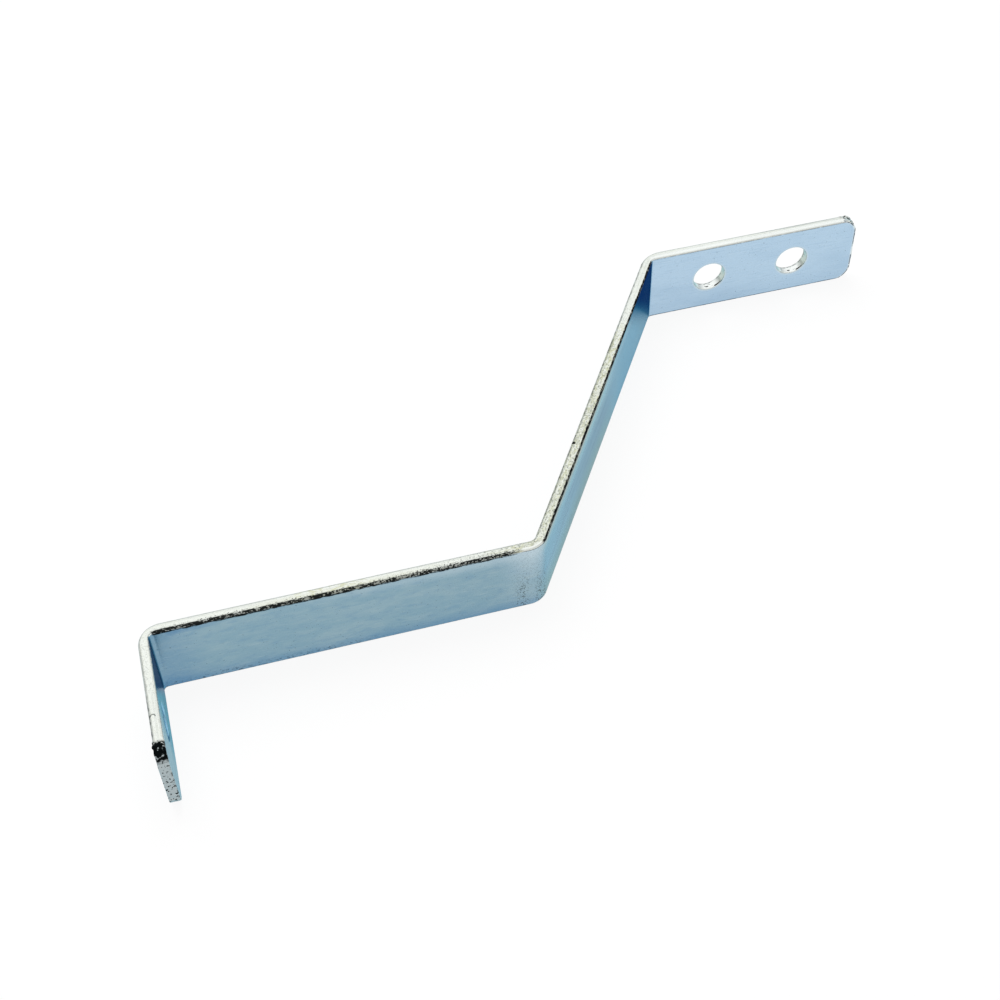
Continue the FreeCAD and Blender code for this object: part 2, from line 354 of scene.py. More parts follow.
def add_rim(blank, stations, front, back):
    """The narrow sides and the two end faces: one closed band round the blank's outline."""
    front_grid, front_between = front
    back_grid, back_between = back
    flanks = {}
    for side, column in ((1, COLUMNS), (-1, 0)):
        line = []
        for index, row in enumerate(stations):
            half, odd = divmod(index, 2)
            if odd:
                ends = (front_between[side][half], back_between[side][half])
            else:
                ends = (front_grid[half][column], back_grid[half][column])
            cut = smooth_step(0.0, math.radians(30), row.turn)
            spots = [
                (*row.edge_point(side, inset), depth, girth)
                for inset, depth, girth in edge_profile(row.radius)
            ]
            line.append((ends, spots, cut))
        flanks[side] = line
    end_lines = {}
    for end, row, number in ((-1, stations[0], 0), (1, stations[-1], -1)):
        line = []
        for column in range(1, COLUMNS):
            ends = (front_grid[number][column], back_grid[number][column])
            w = row.half * (2 * column / COLUMNS - 1)
            spots = [
                (row.edge_point(1, inset)[0], w, depth, girth)
                for inset, depth, girth in edge_profile(row.radius)
            ]
            line.append((ends, spots, 1.0))
        end_lines[end] = line
    loop = flanks[1] + end_lines[1][::-1] + flanks[-1][::-1] + end_lines[-1]
    lines = []
    for (front_point, back_point), spots, cut in loop:
        inner = [blank.add(s, w, d, girth, cut) for s, w, d, girth in spots[1:-1]]
        lines.append([front_point, *inner, back_point])
    for first, second in zip(lines, lines[1:] + lines[:1]):
        blank.strip(first, second)


def patch_border(grid, rows, hole):
    """The face grid's points round a hole's patch, in order."""
    margin = (COLUMNS - HOLE_COLUMNS) // 2
    nearest = [min(range(len(rows)), key=lambda k: abs(rows[k].s - place))
               for place in (hole - HOLE_HALF, hole + HOLE_HALF)]
    first, last = nearest
    low, high = margin, COLUMNS - margin
    border = [grid[k][low] for k in range(first, last)]
    border += [grid[last][c] for c in range(low, high)]
    border += [grid[k][high] for k in range(last, first, -1)]
    border += [grid[first][c] for c in range(high, low, -1)]
    return border


def add_hole(blank, stations, front_grid, back_grid, hole):
    """Rings of faces from the two patches' borders to the hole's rims, and the bore."""
    rows = stations[::2]
    rims = []
    for grid, depth, face, inward, radius in (
        (front_grid, 0.0, 0.0, 1, RIM_RADIUS),
        (back_grid, THICKNESS, 3.0, -1, BURR_RADIUS),
    ):
        border = patch_border(grid, rows, hole)
        spots = [Vector(blank.points[point][:2]) - Vector((hole, 0)) for point in border]
        rings = []
        for distance in RIM_DISTANCES:
            sunk = depth + inward * fillet_depth(radius, distance)
            ring = []
            for spot in spots:
                at = spot.normalized() * (HOLE_RADIUS + distance)
                rim = max(0.0, 1 - distance / radius)
                ring.append(blank.add(hole + at.x, at.y, sunk, face + inward * rim, rim))
            rings.append(ring)
        for step in range(1, SPREAD_RINGS):
            ring = []
            for spot in spots:
                start = spot.normalized() * (HOLE_RADIUS + RIM_DISTANCES[-1])
                at = start.lerp(spot, step / SPREAD_RINGS)
                ring.append(blank.add(hole + at.x, at.y, depth, face))
            rings.append(ring)
        rings.append(border)
        for inner, outer in zip(rings, rings[1:]):
            blank.strip(inner, outer, closed=True)
        rims.append(rings[0])
    bore = [rims[0]]
    for row in range(1, BORE_ROWS):
        share = row / BORE_ROWS
        depth = RIM_RADIUS + (THICKNESS - BURR_RADIUS - RIM_RADIUS) * share
        ring = [
            blank.add(*blank.points[point][:2], depth, 1 + share, 1.0)
            for point in rims[0]
        ]
        bore.append(ring)
    bore.append(rims[1])
    for upper, lower in zip(bore, bore[1:]):
        blank.strip(upper, lower, closed=True)


def make_blank():
    """The whole blank: two faces, the band round them and the punched holes."""
    blank = Blank()
    stations = make_stations()
    front = add_face(blank, stations, 0.0, 0.0)
    back = add_face(blank, stations, THICKNESS, 3.0)
    add_rim(blank, stations, front, back)
    for hole in HOLES:
        add_hole(blank, stations, front[0], back[0], hole)
    return blank


def lumps(point, size):
    """Soft noise from about -1 to 1, whose lumps have a size in millimetres."""
    return 2 * noise.noise(Vector(point) / size)


# Wear that is real shape: how far it reaches in millimetres, and the stretch of the leg's upper
# edge that the rolls left rough.
WAVE_HEIGHT = 0.012
PIT_DEPTH = 0.03
BORE_RIPPLE = 0.02
BURR_HEIGHT = 0.8
BORE_REACH = HOLE_RADIUS + 0.5
ROUGH_LEG = ((42, 43), (136, 142))


def weathering(blank, number):
    """How far a point moves out of the clean surface, in millimetres."""
    s, w, d = point = blank.points[number]
    girth, cut = blank.girth[number], blank.cut[number]
    edge = min(1.0, girth, 3 - girth)
    rise = WAVE_HEIGHT * lumps((s / 2, w, d), 7.0)
    if edge <= 0:
        return rise - PIT_DEPTH * pitting(s, w) * max(0.0, lumps(point, 0.9))
    if min(abs(s - hole) for hole in HOLES) < BORE_REACH and abs(w) < BORE_REACH:
        return rise + BORE_RIPPLE * edge * lumps(point, 1.2)
    rise += edge * (0.014 * lumps(point, 1.3) + 0.01 * lumps(point, 0.7))
    if w > 0 and girth < 1.5:
        on_leg = smooth_step(*ROUGH_LEG[0], s) * (1 - smooth_step(*ROUGH_LEG[1], s))
        rise += edge * on_leg * (0.05 * lumps(point, 0.8) + 0.05 * lumps(point, 1.6) - 0.02)
    rise += edge * cut * (0.05 * lumps(point, 0.9) + 0.05 * lumps(point, 1.8))
    torn = tear(s, w)
    rise += edge * torn * (0.22 * lumps(point, 1.1) + 0.12 * lumps(point, 0.6) - 0.05)
    burr = torn * smooth_step(1.8, 2.4, girth) * (1 - smooth_step(2.6, 3.0, girth))
    burr *= smooth_step(1.0, 2.2, s) * (0.6 + 0.4 * lumps(point, 1.0))
    return rise + BURR_HEIGHT * burr


def pitting(s, w):
    """How pitted the outer side of the crank bend is, more so towards its lower side."""
    middle = (LEG_BEND[0] + LEG_BEND[1]) / 2
    return (1 - smooth_step(2.5, 4.0, abs(s - middle))) * (1 - 0.7 * smooth_step(-10, 12, w))


def tear(s, w):
    """1 where the cropping press tore the upper corners of the two ends."""
    at_tab = (1 - smooth_step(4.8, 6.0, s)) * smooth_step(8.8, 9.8, w)
    at_plate = 0.5 * smooth_step(PLATE_END - 6.5, PLATE_END - 3.0, s) * smooth_step(8.5, 9.5, w)
    return max(at_tab, at_plate)


def make_bracket():
    """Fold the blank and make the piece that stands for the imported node."""
    blank = make_blank()
    mesh = bpy.data.meshes.new(PIECE)
    folded = [FOLD.place(*point) for point in blank.points]
    mesh.from_pydata([point * MM for point in folded], [], blank.faces)
    work = bmesh.new()
    work.from_mesh(mesh)
    bmesh.ops.recalc_face_normals(work, faces=work.faces)
    work.normal_update()
    for number, vertex in enumerate(work.verts):
        vertex.co += vertex.normal * weathering(blank, number) * MM
    work.to_mesh(mesh)
    work.free()
    mesh.shade_smooth()
    place = mesh.attributes.new("blank", "FLOAT_VECTOR", "POINT")
    place.data.foreach_set("vector", [value for point in blank.points for value in point])
    for name, values in (("girth", blank.girth), ("cut", blank.cut)):
        mesh.attributes.new(name, "FLOAT", "POINT").data.foreach_set("value", values)
    piece = bpy.data.objects.new(PIECE, mesh)
    bpy.context.scene.collection.objects.link(piece)
    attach(piece, BODY)
    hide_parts(NODE)
    return piece


def linear(red, green, blue):
    """A colour that is written in 0 to 255 steps, as a shader takes it."""
    steps = [value / 255 for value in (red, green, blue)]
    return [v / 12.92 if v < 0.04045 else ((v + 0.055) / 1.055) ** 2.4 for v in steps] + [1.0]


class Nodes:
    """Short calls that build a node tree."""

    def __init__(self, tree):
        self.tree = tree
        tree.nodes.clear()

    def feed(self, socket, value):
        """Give a socket a number, a colour, another socket or a field."""
        if isinstance(value, Field):
            value = value.socket
        if isinstance(value, bpy.types.NodeSocket):
            self.tree.links.new(value, socket)
        else:
            socket.default_value = value

    def put(self, kind, inputs=None, **settings):
        """Add a node, set it up and feed its inputs."""
        node = self.tree.nodes.new(kind)
        for name, value in settings.items():
            setattr(node, name, value)
        for name, value in (inputs or {}).items():
            self.feed(node.inputs[name], value)
        return node

    def math(self, operation, *values):
        node = self.put("ShaderNodeMath", operation=operation)
        for socket, value in zip(node.inputs, values):
            self.feed(socket, value)
        return Field(self, node.outputs[0])

    def attribute(self, name):
        return self.put("ShaderNodeAttribute", attribute_name=name)

    def ramp(self, value, low, high):
        """A smooth rise from 0 at low to 1 at high."""
        inputs = {"Value": value, "From Min": low, "From Max": high}
        node = self.put("ShaderNodeMapRange", inputs, interpolation_type="SMOOTHSTEP")
        return Field(self, node.outputs["Result"])

    def fall(self, value, low, high):
        """A smooth fall from 1 at low to 0 at high."""
        return 1 - self.ramp(value, low, high)

    def band(self, value, rise, fall):
        """1 between two places, with a smooth rise and a smooth fall."""
        return self.ramp(value, *rise) * self.fall(value, *fall)

    def greatest(self, *values):
        return functools.reduce(lambda a, b: self.math("MAXIMUM", a, b), values)

    def size_of(self, value):
        """A number without its sign."""
        return self.math("ABSOLUTE", value)

    def squares(self, across, along):
        """The square of a distance, from how far it runs two ways."""
        return self.math("POWER", across, 2.0) + self.math("POWER", along, 2.0)

    def noise(self, place, size, detail=2.0, seed=0.0):
        """Soft noise from 0 to 1, whose blots have a size in millimetres along s, w and d."""
        scaled = self.put("ShaderNodeVectorMath", operation="DIVIDE")
        self.feed(scaled.inputs[0], place)
        self.feed(scaled.inputs[1], size)
        moved = self.put("ShaderNodeVectorMath", operation="ADD")
        self.feed(moved.inputs[0], scaled.outputs[0])
        self.feed(moved.inputs[1], (seed, seed / 3, seed / 7))
        inputs = {"Vector": moved.outputs[0], "Scale": 1.0, "Detail": detail}
        return Field(self, self.put("ShaderNodeTexNoise", inputs).outputs["Fac"])

    def mix(self, share, low, high):
        """A mix of two colours."""
        node = self.put("ShaderNodeMix", data_type="RGBA")
        for index, value in ((0, share), (6, low), (7, high)):
            self.feed(node.inputs[index], value)
        return node.outputs[2]


class Field:
    """A number that varies over the surface, with the usual signs of arithmetic."""

    def __init__(self, nodes, socket):
        self.nodes = nodes
        self.socket = socket

    def __add__(self, other):
        return self.nodes.math("ADD", self, other)

    def __sub__(self, other):
        return self.nodes.math("SUBTRACT", self, other)

    def __rsub__(self, other):
        return self.nodes.math("SUBTRACT", other, self)

    def __mul__(self, other):
        return self.nodes.math("MULTIPLY", self, other)

    __radd__ = __add__
    __rmul__ = __mul__


# The colours of the plating where it looks even.
TAB_COLOUR = linear(84, 154, 184)
LEG_COLOUR = linear(135, 167, 182)
RISER_COLOUR = linear(146, 180, 200)
PLATE_COLOUR = linear(182, 208, 229)

# Its haze, stains and worn places.
DEEP_BLUE = linear(84, 130, 170)
HAZE_GREY = linear(164, 186, 192)
TEAL = linear(84, 160, 160)
PALE_GREEN = linear(214, 222, 200)
EDGE_WHITE = linear(240, 244, 238)
EDGE_GREY = linear(202, 207, 202)
STAIN_YELLOW = linear(208, 210, 172)
MOTTLE_GREY = linear(178, 184, 168)
OLIVE = linear(138, 144, 108)
SHEARED_GREY = linear(172, 182, 184)
BORE_WHITE = linear(246, 250, 248)
BORE_GREY = linear(196, 208, 200)
BORE_BLUE = linear(140, 190, 216)
LAVENDER = linear(124, 140, 166)
PALE_BLUE = linear(200, 216, 224)

# Bare steel, chalky film and thin coloured film, which don't mirror. All else does.
BARE_BLACK = linear(8, 11, 12)
BARE_BROWN = linear(58, 64, 62)
INK_BLUE = linear(48, 78, 104)
FILM_TEAL = linear(102, 184, 206)
FILM_GREEN = linear(150, 190, 190)
FILM_SLATE = linear(128, 168, 188)
FILM_BLUE = linear(118, 182, 212)
FILM_PALE = linear(194, 218, 222)
CHALK = linear(212, 210, 188)
FILMS = (FILM_TEAL, FILM_GREEN, FILM_SLATE, FILM_BLUE, FILM_PALE)
MATTE_TONES = (BARE_BLACK, BARE_BROWN, INK_BLUE, CHALK, *FILMS)

# The painted reflection of the neighbouring flat in the two inner corners, a deeper blue, and the
# tints of what the plating mirrors at a grazing angle, in the open and there.
CORNER_REFLECTION_BLUE = linear(30, 108, 140)
GRAZING_TINT = linear(192, 225, 236)
CORNER_REFLECTION_TINT = linear(12, 104, 152)

# How steeply the edges of those two painted reflections run over the bar: across it for each
# millimetre along it on the tab, and along it for each millimetre across it on the riser.
TAB_REFLECTION_SLOPE = 1.47
RISER_REFLECTION_SLOPE = 1.1

# The nick in the riser's edge and the curl of the tab's, as places along the bar and into it.
NICK = (183.9, 2.35)
CURL = (12.5, 1.9)

# The shine of the plating, and how much rougher the tones are that don't mirror.
ROUGHNESS = 0.2
MATTE_ROUGHNESS = 0.5
SPECULAR_LEVEL = 0.05


class Surface:
    """The fields that the marks are laid out by: places on the blank, and which flat it is."""

    def __init__(self, nodes):
        self.nodes = nodes
        self.place = nodes.attribute("blank").outputs["Vector"]
        axes = nodes.put("ShaderNodeSeparateXYZ", {"Vector": self.place})
        self.s, self.w, self.d = (Field(nodes, axes.outputs[name]) for name in "XYZ")
        self.girth = Field(nodes, nodes.attribute("girth").outputs["Fac"])
        self.cut = Field(nodes, nodes.attribute("cut").outputs["Fac"])
        self.on_tab = nodes.fall(self.s, TAB_BEND[0] + 2, TAB_BEND[0] + 4)
        plate_start = (PLATE_BEND[0] + 3, PLATE_BEND[0] + 4)
        self.on_riser = self.along(LEG_BEND[0] + 1, LEG_BEND[1], *plate_start)
        self.on_plate = nodes.ramp(self.s, *plate_start)
        self.on_leg = (1 - self.on_tab) * (1 - self.on_riser) * (1 - self.on_plate)
        self.on_top = nodes.ramp(self.w, 10.8, 11.2)
        self.on_bottom = nodes.fall(self.w, -11.2, -10.8)
        self.on_front = nodes.fall(self.girth, 1.2, 1.8)
        self.on_edge = self.around(0.02, 0.25, 2.75, 2.98)
        self.toward_leg = self.w + TAB_REFLECTION_SLOPE * self.s
        self.toward_plate = self.s + RISER_REFLECTION_SLOPE * self.w
        self.tab_front = self.on_tab * self.on_front
        self.riser_front = self.on_riser * self.on_front
        # Painted reflection: the neighbouring flat mirrored in each inner corner, on the front face
        # up to a slanted edge.
        self.tab_corner = self.tab_front * nodes.ramp(self.toward_leg, 38.5, 46.0)
        self.riser_corner = self.riser_front * nodes.ramp(self.toward_plate, 246.0, 263.0)

    def along(self, *marks):
        """1 on a stretch of the bar, with soft ends."""
        return self.nodes.band(self.s, marks[:2], marks[2:])

    def around(self, *marks):
        """1 on a part of the way round the bar's edge, with soft ends."""
        return self.nodes.band(self.girth, marks[:2], marks[2:])

    def blots(self, size, low, high, seed, detail=2.0):
        """Blots of noise that pass a threshold, with a size along s, w and d."""
        return self.nodes.ramp(self.nodes.noise(self.place, size, detail, seed), low, high)

    def inset(self):
        """How far a place on a broad face lies in from a cropped end."""
        nodes = self.nodes
        past_plate = self.s - (PLATE_END - CORNER_RADIUS)
        past = nodes.greatest(past_plate, CORNER_RADIUS - self.s, 0.0)
        aside = nodes.greatest(nodes.size_of(self.w) - (HALF_WIDTH - CORNER_RADIUS), 0.0)
        return CORNER_RADIUS - nodes.math("SQRT", nodes.squares(past, aside))

    def hole_distance(self, hole):
        """How far a place lies from a hole's middle."""
        return self.nodes.math("SQRT", self.nodes.squares(self.s - hole, self.w))


# Each of the next functions lists layers, from the lowest to the one on top: how much of the
# surface a layer takes, from 0 to 1, and its tone. Their numbers are places along the bar, across
# it and into it in millimetres, girths, sizes of blots in millimetres, thresholds of noise from 0
# to 1, and shares.


def face_layers(at):
    """The broad faces: a colour for each flat, haze, blue ends and lengthwise streaks, with painted
    shade towards the lower side and the tab's corner, a painted lighter top on the leg, and the
    painted reflections in the two inner corners.
    """
    nodes = at.nodes
    # Masks of painted shade: towards the lower side, and near the tab's inner corner.
    lower_side_shade = nodes.fall(at.w, -13.0, -4.0)
    near_tab_shade = nodes.fall(at.s, 43.0, 56.0)
    streaks = at.blots((40.0, 1.6, 3.0), 0.4, 0.66, seed=8.0)
    riser_slope = at.w + (at.s - 200.0) * 0.03
    open_tab = at.tab_front * (1 - at.tab_corner)
    riser = at.riser_front
    edge_specks = at.blots((0.8, 0.4, 0.5), 0.56, 0.62, seed=11.0) * nodes.fall(at.s, 85.0, 120.0)
    dull = riser * nodes.fall(at.s, 205.0, 230.0)
    leg = at.on_leg
    return [
        (at.tab_front, TAB_COLOUR),
        (at.on_riser, RISER_COLOUR),
        (at.on_plate, PLATE_COLOUR),
        (leg * at.blots((16.0, 6.0, 8.0), 0.42, 0.7, seed=3.0) * 0.3, HAZE_GREY),
        (leg * at.blots((5.0, 2.0, 3.0), 0.45, 0.7, seed=5.0) * 0.2, HAZE_GREY),
        (leg * at.blots((4.0, 2.0, 3.0), 0.5, 0.7, seed=6.0) * 0.16, DEEP_BLUE),
        # Painted shade: the leg darker and bluer near the tab's inner corner and towards its lower
        # side.
        (leg * near_tab_shade * (0.3 + lower_side_shade * 0.4), DEEP_BLUE),
        (leg * lower_side_shade * 0.22, DEEP_BLUE),
        (leg * nodes.fall(at.w, -11.5, -8.0) * 0.4, DEEP_BLUE),
        (leg * at.on_front * nodes.fall(at.w, -11.6, -9.5) * edge_specks * 0.7, INK_BLUE),
        # Painted light: the leg lighter towards its upper side.
        (leg * nodes.ramp(at.s, 60.0, 140.0) * nodes.ramp(at.w, 7.0, 11.0) * 0.45, PALE_BLUE),
        (leg * at.along(43.5, 45.0, 50.0, 62.0) * nodes.ramp(at.w, 9.4, 10.6) * 0.45, DEEP_BLUE),
        (at.on_riser * at.blots((30.0, 5.0, 8.0), 0.42, 0.7, seed=7.0) * 0.3, HAZE_GREY),
        (dull * nodes.band(riser_slope, (-8.0, -1.0), (3.0, 8.0)) * (0.1 + streaks * 0.4),
         LAVENDER),
        (dull * nodes.ramp(riser_slope, 3.0, 11.0) * (0.4 - streaks * 0.2), PALE_GREEN),
        (riser * nodes.fall(riser_slope, -12.0, -5.0) * (0.3 - streaks * 0.1), TEAL),
        (dull * at.blots((30.0, 1.2, 3.0), 0.5, 0.7, seed=9.0) * 0.3, FILM_SLATE),
        (dull * nodes.ramp(at.s, 160.0, 190.0) * nodes.band(at.w, (-14.0, -8.0), (2.0, 9.0)) * 0.45,
         FILM_SLATE),
        (riser * nodes.ramp(at.s, 205.0, 235.0) * nodes.fall(at.w, 6.0, 11.0)
         * nodes.fall(at.toward_plate, 248.0, 257.0) * 0.6, FILM_BLUE),
        (dull * nodes.fall(at.w, -8.0, 0.0) * 0.4, FILM_GREEN),
        (dull * nodes.ramp(at.w, 8.4, 11.2) * (0.2 + streaks * 0.3), CHALK),
        (dull * nodes.fall(at.w, -12.0, -6.0) * 0.2, CHALK),
        (at.on_plate * at.blots((20.0, 9.0, 8.0), 0.4, 0.75, seed=4.0) * 0.12, DEEP_BLUE),
        # Painted shade: the plate darker towards its lower side.
        (at.on_plate * lower_side_shade * 0.12, DEEP_BLUE),
        (at.on_tab * streaks * 0.2, DEEP_BLUE),
        (open_tab * (0.35 + nodes.ramp(at.s, 2.0, 20.0) * 0.45), FILM_TEAL),
        (open_tab * nodes.fall(at.s, 9.0, 19.0) * 0.5, FILM_PALE),
        (open_tab * streaks * 0.15, INK_BLUE),
        # Painted reflection: a deeper blue where the neighbouring flat is mirrored in each inner
        # corner.
        (at.tab_corner * 0.8, CORNER_REFLECTION_BLUE),
        (at.riser_corner * 0.8, CORNER_REFLECTION_BLUE),
    ]


def scratch_layers(at):
    """Fine lengthwise scratches, specks along the leg's lower side and pits at the crank bend."""
    nodes = at.nodes
    dark_scratches = at.blots((6.0, 0.3, 0.6), 0.56, 0.7, seed=12.0)
    light_scratches = at.blots((4.0, 0.3, 0.6), 0.6, 0.72, seed=17.0)
    grain = at.blots((0.7, 0.5, 0.5), 0.35, 0.75, seed=19.0)
    specks = at.blots((0.8, 0.6, 0.6), 0.68, 0.74, seed=21.0, detail=1.0)
    low_specks = at.along(46.0, 62.0, 100.0, 118.0) * nodes.fall(at.w, -12.0, -6.0)
    stretched = at.along(133.0, 143.5, 145.5, 149.5) * at.on_front
    first_pits = at.along(138.0, 140.8, 141.4, 144.0)
    pit_bands = nodes.greatest(first_pits, at.along(143.5, 146.0, 147.2, 149.0))
    pits = at.blots((0.4, 0.5, 0.5), 0.56, 0.66, seed=23.0, detail=0.0)
    pits = pits * (1.1 - nodes.ramp(at.w, -12.0, 9.0)) * at.on_front
    return [
        (dark_scratches * 0.14, DEEP_BLUE),
        (light_scratches * 0.08, EDGE_WHITE),
        (grain * 0.1, HAZE_GREY),
        (stretched * (0.15 + nodes.ramp(at.w, -4.0, 12.0) * 0.5), PALE_BLUE),
        (specks * (0.25 + low_specks * 0.7), BARE_BROWN),
        (pit_bands * pits * 0.6, BARE_BROWN),
        (stretched * at.blots((0.4, 0.5, 0.5), 0.6, 0.7, seed=29.0, detail=0.0) * 0.15, BARE_BROWN),
    ]


def hole_layers(at):
    """The holes: a pale ring that the punch drew in, and the bore's brighter wall, a painted
    highlight where its lower part faces up.
    """
    nodes = at.nodes
    chips = at.blots((0.8, 0.8, 0.5), 0.64, 0.69, seed=61.0)
    broken = at.blots((1.2, 1.2, 1.0), 0.42, 0.55, seed=63.0)
    back_line = at.around(1.75, 1.85, 2.4, 2.6)
    front_line = at.around(0.8, 0.95, 1.05, 1.2)
    side_line = front_line * nodes.fall(at.w, -1.5, 0.0)
    underside = nodes.fall(at.w, -4.6, -2.6)
    ring_start = (HOLE_RADIUS, HOLE_RADIUS + 0.1)
    ring_end = (HOLE_RADIUS + 0.4, HOLE_RADIUS + 0.9)
    layers = []
    for hole in HOLES:
        away = at.hole_distance(hole)
        ring = nodes.band(away, ring_start, ring_end)
        bore = nodes.fall(away, HOLE_RADIUS + 0.05, HOLE_RADIUS + 0.3)
        bore = bore * at.around(0.3, 0.8, 2.6, 2.9)
        if hole == TAB_HOLE:
            layers += [(ring * 0.15, PALE_BLUE), (bore, BORE_BLUE)]
            continue
        right = at.along(hole + 2.0, hole + 2.6, hole + 4.0, hole + 4.4)
        dots = at.along(hole - 0.6, hole - 0.3, hole + 0.3, hole + 0.6)
        dots = dots * at.around(1.2, 1.25, 1.4, 1.45)
        layers += [
            (ring * 0.55, PALE_BLUE),
            (bore, BORE_GREY),
            # Painted highlight: the bore's lower wall, which faces up, in white.
            (bore * underside, BORE_WHITE),
            (bore * back_line * broken * 0.6, BARE_BROWN),
            (bore * right * front_line * underside, BARE_BLACK),
            (bore * right * side_line * 0.6, BARE_BLACK),
            (bore * dots * underside, BARE_BROWN),
            (bore * chips * 0.8, BARE_BROWN),
        ]
    return layers


def edge_layers(at):
    """The narrow sides: near white, with grey lines, stains and the grey of a sheared end."""
    nodes = at.nodes
    sheared = 1 - at.along(4.8, 5.8, PLATE_END - 5.8, PLATE_END - 4.8)
    bar_side = at.on_edge * nodes.ramp(nodes.size_of(at.w), 6.5, 7.0)
    grain = at.blots((1.6, 0.5, 0.5), 0.45, 0.62, seed=31.0)
    yellow = at.along(74.0, 84.0, 92.0, 104.0) + at.along(128.0, 140.0, 230.0, 240.0)
    lines = at.blots((25.0, 4.0, 0.35), 0.52, 0.6, seed=35.0)
    worn = 0.25 + at.along(100.0, 140.0, 212.0, 262.0) * 0.75
    worn = worn + at.along(18.0, 22.0, 34.0, 38.0) * 0.3
    specks = at.blots((0.6, 0.45, 0.45), 0.54, 0.62, seed=37.0)
    mottled = at.blots((1.0, 0.7, 0.6), 0.45, 0.62, seed=38.0)
    mottled = mottled * at.along(118.0, 138.0, 200.0, 240.0)
    torn_line = at.along(5.0, 6.0, 17.0, 24.0) * at.around(2.3, 2.5, 2.98, 3.0)
    broken = at.blots((1.2, 0.6, 0.6), 0.4, 0.58, seed=39.0)
    outline = at.around(1.95, 2.3, 2.98, 3.0) * (0.3 + broken * (at.on_riser * 0.3 + 0.15))
    outline = nodes.greatest(outline, torn_line * (0.5 + broken * 0.5))
    end_specks = at.blots((0.9, 0.8, 0.7), 0.6, 0.64, seed=41.0, detail=1.0)
    nick = nodes.squares(at.s - NICK[0], (at.d - NICK[1]) * 0.9)
    nick = nodes.fall(nick, 0.18, 0.34)
    curl = nodes.squares(at.s - CURL[0], at.d - CURL[1])
    curl = nodes.band(curl, (0.15, 0.25), (0.5, 0.65))
    curl = curl * nodes.ramp(at.s, CURL[0] - 0.3, CURL[0] + 0.1)
    front_half = nodes.fall(at.girth, 0.9, 1.1)
    crop_rim = nodes.ramp(at.s, PLATE_END - 5.5, PLATE_END - 4.5) * front_half
    crop_rim = crop_rim * nodes.fall(at.inset(), 0.4, 0.8)
    crop_edge = crop_rim * nodes.fall(at.inset(), 0.35, 0.6)
    end_outline = at.around(0.05, 0.3, 0.9, 1.15) * at.blots((1.0, 1.2, 1.0), 0.5, 0.58, seed=43.0)
    cropped = at.on_edge * sheared * at.cut
    return [
        (bar_side, EDGE_WHITE),
        (bar_side * grain * (0.1 + yellow * 0.6), STAIN_YELLOW),
        (bar_side * lines * (0.3 + at.on_plate * 0.4), EDGE_GREY),
        (bar_side * at.along(130.0, 150.0, 215.0, 240.0) * 0.15, STAIN_YELLOW),
        (bar_side * at.along(60.0, 75.0, 105.0, 125.0) * nodes.fall(at.d, 1.0, 2.2) * 0.2,
         STAIN_YELLOW),
        (bar_side * mottled * 0.5, MOTTLE_GREY),
        (bar_side * at.along(221.0, 225.0, 227.0, 231.0) * nodes.ramp(at.d, 1.6, 2.6) * 0.7, OLIVE),
        (bar_side * specks * worn * 0.6, BARE_BROWN),
        (at.on_top * outline, BARE_BROWN),
        (cropped, SHEARED_GREY),
        (cropped * end_specks, BARE_BLACK),
        (cropped * end_outline * 0.8, BARE_BROWN),
        (at.on_top * at.on_plate * at.around(0.35, 0.6, 1.3, 1.6) * 0.7, BORE_WHITE),
        (crop_rim * 0.6, EDGE_WHITE),
        (crop_edge * at.blots((1.0, 1.6, 1.2), 0.45, 0.54, seed=45.0) * 0.9, INK_BLUE),
        (at.on_top * nick, BARE_BLACK),
        (at.on_top * at.on_edge * curl * 0.8, BARE_BROWN),
    ]


